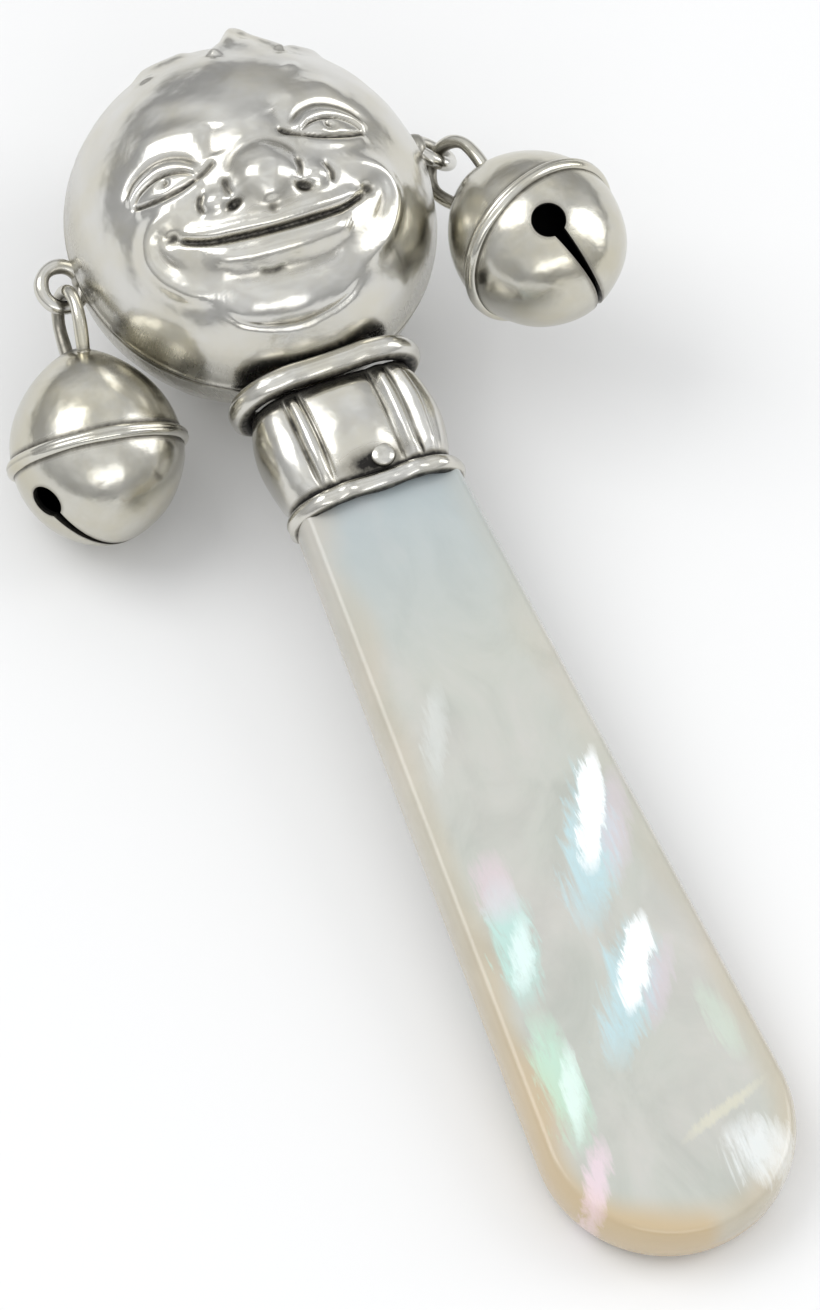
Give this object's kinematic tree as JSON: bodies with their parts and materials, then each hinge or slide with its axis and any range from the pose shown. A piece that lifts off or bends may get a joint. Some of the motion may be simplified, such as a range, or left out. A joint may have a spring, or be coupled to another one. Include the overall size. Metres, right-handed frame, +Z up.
{
  "type": "baby rattle",
  "caption": "Hollow ball-headed silver rattle with a laughing face, jingle bells hung on rings at its sides, a fluted oval collar and a flat mother-of-pearl handle.",
  "frame": {"origin": "on the table, under the middle of the part's box, with the rattle lying on its back", "axes": "+Z up, out of the table, the way the face looks; +Y towards the top of the head; +X to the right of someone who looks down at the face"},
  "size_m": [0.0494, 0.1004, 0.0245],
  "materials": {
    "silver": "polished silver, tarnished dark in the recesses",
    "mother_of_pearl": "polished mother-of-pearl with a faint pink and green play of colour",
    "cement": "dull resin cement, hidden inside the collar",
    "pellet_steel": "dull iron shot, hidden inside the bells"
  },
  "bodies": {
    "rattle": {"head_front_shell": "silver", "head_back_shell": "silver", "neck_bead": "silver", "collar_body": "silver", "mouth_bead": "silver", "handle": "mother_of_pearl", "handle_rivet": "silver", "socket_filler": "cement", "left_head_ring": "silver", "right_head_ring": "silver"},
    "left_bell": {"left_bell_upper_shell": "silver", "left_bell_lower_shell": "silver", "left_bell_rib": "silver", "left_bell_loop": "silver"},
    "left_pellet": {"left_bell_pellet": "pellet_steel"},
    "right_bell": {"right_bell_upper_shell": "silver", "right_bell_lower_shell": "silver", "right_bell_rib": "silver", "right_bell_loop": "silver"},
    "right_pellet": {"right_bell_pellet": "pellet_steel"}
  },
  "joints": [
    {"name": "left_bell_swing", "type": "hinge", "parent": "rattle", "child": "left_bell", "pos_m": [-0.01587, 0.03649, 0.01134], "axis": [-0.1717, 0.3641, -0.9154], "range_deg": [-3, 160]},
    {"name": "left_pellet_roll", "type": "slide", "parent": "left_bell", "child": "left_pellet", "axis": [0, 0, 1], "range_m": [0, 0.0076]},
    {"name": "right_bell_swing", "type": "hinge", "parent": "rattle", "child": "right_bell", "pos_m": [0.01458, 0.03772, 0.01117], "axis": [0.6209, 0.3565, 0.6981], "range_deg": [-8, 48]},
    {"name": "right_pellet_roll", "type": "slide", "parent": "right_bell", "child": "right_pellet", "axis": [0, 0, 1], "range_m": [0, 0.0076]}
  ]
}
